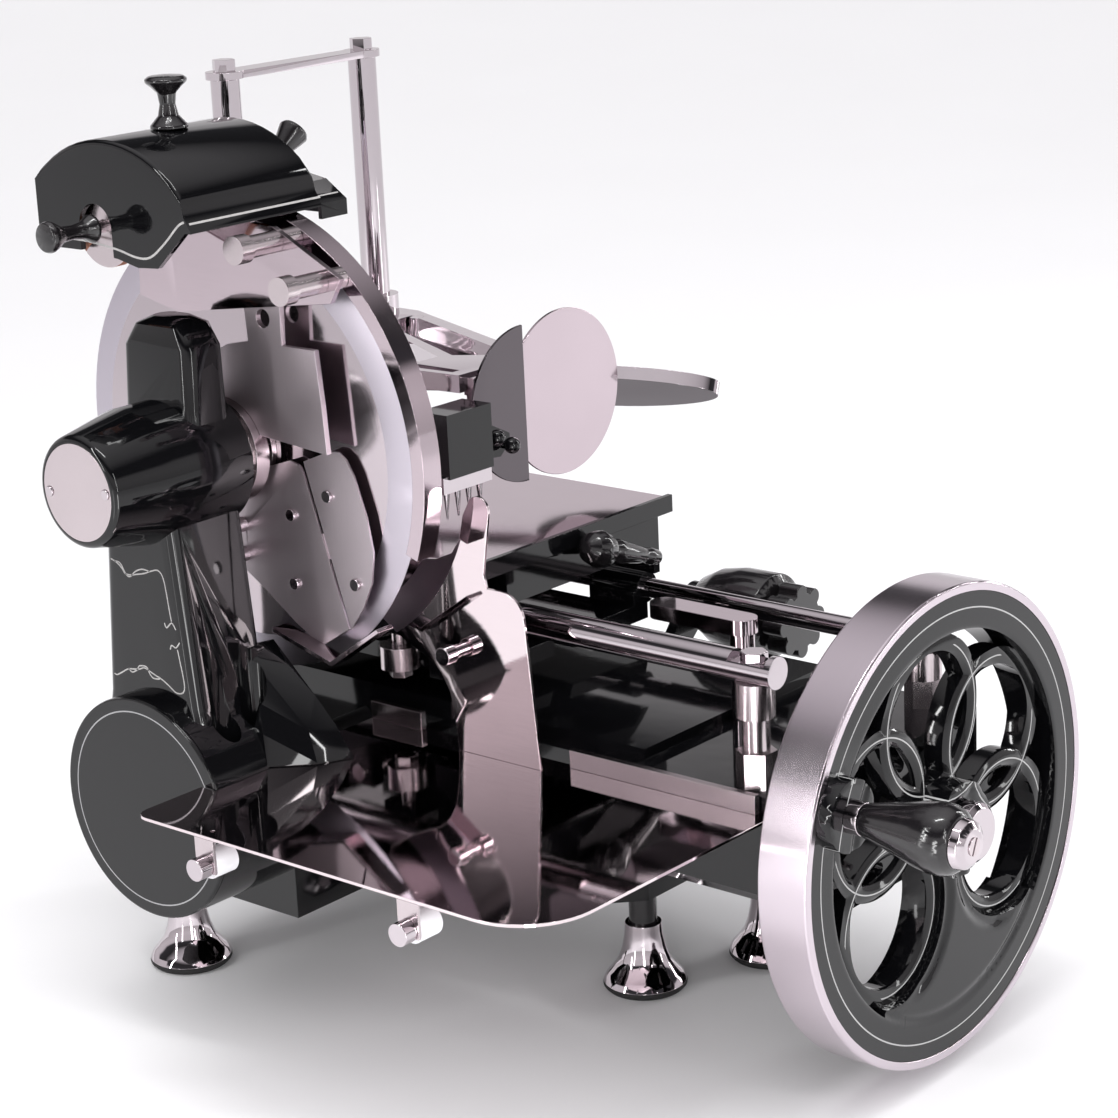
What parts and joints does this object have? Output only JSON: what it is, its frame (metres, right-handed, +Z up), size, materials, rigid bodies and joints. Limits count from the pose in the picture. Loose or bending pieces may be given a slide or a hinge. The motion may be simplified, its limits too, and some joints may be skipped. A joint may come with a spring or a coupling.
{
  "type": "hand crank meat slicer",
  "caption": "Flywheel meat slicer: a hand cranked flywheel turns a round blade while a carriage carries the clamped food past it; slices fall on a steel tray.",
  "frame": {"origin": "centre of the machine's footprint box, on the counter", "axes": "+X to the operator's right, +Y away from the operator along the flywheel shaft, +Z up"},
  "size_m": [0.5045, 0.6836, 0.6227],
  "materials": {
    "coat": "deep gloss black enamel",
    "blackware": "polished black",
    "mirror_steel": "mirror polished stainless steel",
    "chrome": "chrome plated",
    "satin_steel": "satin turned steel",
    "drive_steel": "oiled machined steel",
    "stone": "fine abrasive",
    "nylon": "white nylon"
  },
  "bodies": {
    "frame": {"base_casting": "coat", "column": "coat", "boss_cover": "satin_steel", "drum_cover": "coat", "leg_bells": "chrome", "leg_stems": "blackware", "leg_pads": "blackware", "slice_tray": "mirror_steel", "tray_brackets": "satin_steel", "guide_rails": "satin_steel", "guide_rods": "chrome", "rod_posts": "satin_steel", "rod_bolts": "chrome", "guard_ring": "mirror_steel", "guard_bracket": "satin_steel", "blade_covers": "mirror_steel", "cover_screws": "chrome", "chute_cup": "mirror_steel", "blade_sleeve": "satin_steel", "slice_deflector": "mirror_steel", "deflector_stud": "chrome", "sharpener_base": "mirror_steel", "sharpener_pins": "satin_steel", "drive_chain": "drive_steel"},
    "front_roller": {"tray_roller_front": "nylon"},
    "rear_roller": {"tray_roller_rear": "nylon"},
    "deflector_lever": {"deflector_lever": "mirror_steel"},
    "hood": {"sharpener_hood": "coat", "hood_knob": "blackware", "stop_knob": "blackware"},
    "grinding_stone": {"grinding_stone": "stone", "stone_knobs": "blackware"},
    "honing_stone": {"honing_stone": "stone"},
    "flywheel": {"flywheel_rim": "satin_steel", "flywheel_disc": "coat", "hub_cap": "chrome", "flywheel_shaft": "drive_steel", "drive_bevel": "drive_steel", "grip_spindle": "chrome"},
    "grip": {"grip": "blackware", "grip_cap": "chrome"},
    "cross_shaft": {"cross_shaft": "drive_steel", "driven_bevel": "drive_steel", "lower_sprocket": "drive_steel"},
    "blade": {"blade": "satin_steel", "blade_shaft": "satin_steel"},
    "carriage": {"carriage_frame": "coat"},
    "crank": {"link_bar": "mirror_steel"},
    "carriage_roller": {"carriage_roller": "satin_steel"},
    "feed_screw": {"feed_screw": "satin_steel"},
    "table": {"table_box": "coat", "table_plate": "mirror_steel", "clamp_posts": "chrome", "post_bar": "chrome"},
    "release_lever": {"release_lever": "blackware"},
    "clamp": {"clamp_arm": "chrome", "clamp_head": "chrome", "guard_plates": "mirror_steel"},
    "tongue": {"clamp_tongue": "chrome"},
    "dial": {"thickness_dial": "blackware"}
  },
  "joints": [
    {"name": "flywheel_spin", "type": "hinge", "parent": "frame", "child": "flywheel", "pos_m": [0.075, -0.25, 0.165], "axis": [0, 1, 0], "continuous": true},
    {"name": "grip_spin", "type": "hinge", "parent": "flywheel", "child": "grip", "pos_m": [-0.04368, -0.31, 0.21295], "axis": [0, 1, 0], "continuous": true},
    {"name": "cross_shaft_spin", "type": "hinge", "parent": "frame", "child": "cross_shaft", "pos_m": [-0.125, 0.192, 0.165], "axis": [1, 0, 0], "continuous": true},
    {"name": "blade_spin", "type": "hinge", "parent": "frame", "child": "blade", "pos_m": [-0.07, 0.192, 0.382], "axis": [1, 0, 0], "continuous": true},
    {"name": "crank_spin", "type": "hinge", "parent": "frame", "child": "crank", "pos_m": [0.075, -0.094, 0.265], "axis": [0, 0, 1], "continuous": true},
    {"name": "carriage_slide", "type": "slide", "parent": "frame", "child": "carriage", "axis": [0, 1, 0], "range_m": [-0.19, 0]},
    {"name": "carriage_roller_spin", "type": "hinge", "parent": "carriage", "child": "carriage_roller", "pos_m": [-0.017, 0.12, 0.235], "axis": [0, 0, 1], "continuous": true},
    {"name": "table_feed", "type": "slide", "parent": "carriage", "child": "table", "axis": [1, 0, 0], "range_m": [0, 0.1]},
    {"name": "feed_screw_turn", "type": "hinge", "parent": "carriage", "child": "feed_screw", "pos_m": [0.075, 0.18, 0.251], "axis": [1, 0, 0], "range_deg": [0, 3000]},
    {"name": "release_lever_turn", "type": "hinge", "parent": "table", "child": "release_lever", "pos_m": [0.122, 0.04, 0.284], "axis": [0, 1, 0], "range_deg": [0, 60]},
    {"name": "clamp_height", "type": "slide", "parent": "table", "child": "clamp", "axis": [0, 0, 1], "range_m": [-0.01, 0.15]},
    {"name": "tongue_turn", "type": "hinge", "parent": "clamp", "child": "tongue", "pos_m": [0.159, 0.255, 0.368], "axis": [0, 0, 1], "range_deg": [0, 30]},
    {"name": "dial_turn", "type": "hinge", "parent": "frame", "child": "dial", "pos_m": [0.209, 0, 0.225], "axis": [0, 1, 0], "range_deg": [0, 300]},
    {"name": "hood_lift", "type": "slide", "parent": "frame", "child": "hood", "axis": [0, 0, 1], "range_m": [0, 0.06]},
    {"name": "grinding_stone_spin", "type": "hinge", "parent": "frame", "child": "grinding_stone", "pos_m": [-0.125, 0.223, 0.534], "axis": [1, 0, 0], "continuous": true},
    {"name": "honing_stone_spin", "type": "hinge", "parent": "frame", "child": "honing_stone", "pos_m": [-0.052, 0.173, 0.551], "axis": [1, 0, 0], "continuous": true},
    {"name": "deflector_lever_turn", "type": "hinge", "parent": "frame", "child": "deflector_lever", "pos_m": [-0.043, 0.038, 0.261], "axis": [1, 0, 0], "range_deg": [-20, 45]},
    {"name": "front_roller_spin", "type": "hinge", "parent": "frame", "child": "front_roller", "pos_m": [-0.235, -0.095, 0.1735], "axis": [1, 0, 0], "continuous": true},
    {"name": "rear_roller_spin", "type": "hinge", "parent": "frame", "child": "rear_roller", "pos_m": [-0.235, 0.072, 0.1735], "axis": [1, 0, 0], "continuous": true}
  ],
  "couplings": [
    {"joint": "cross_shaft_spin", "follows": "flywheel_spin", "ratio": 1},
    {"joint": "blade_spin", "follows": "flywheel_spin", "ratio": 2},
    {"joint": "crank_spin", "follows": "flywheel_spin", "ratio": 1},
    {"joint": "feed_screw_turn", "follows": "table_feed", "rad_per_m": 523.6}
  ]
}
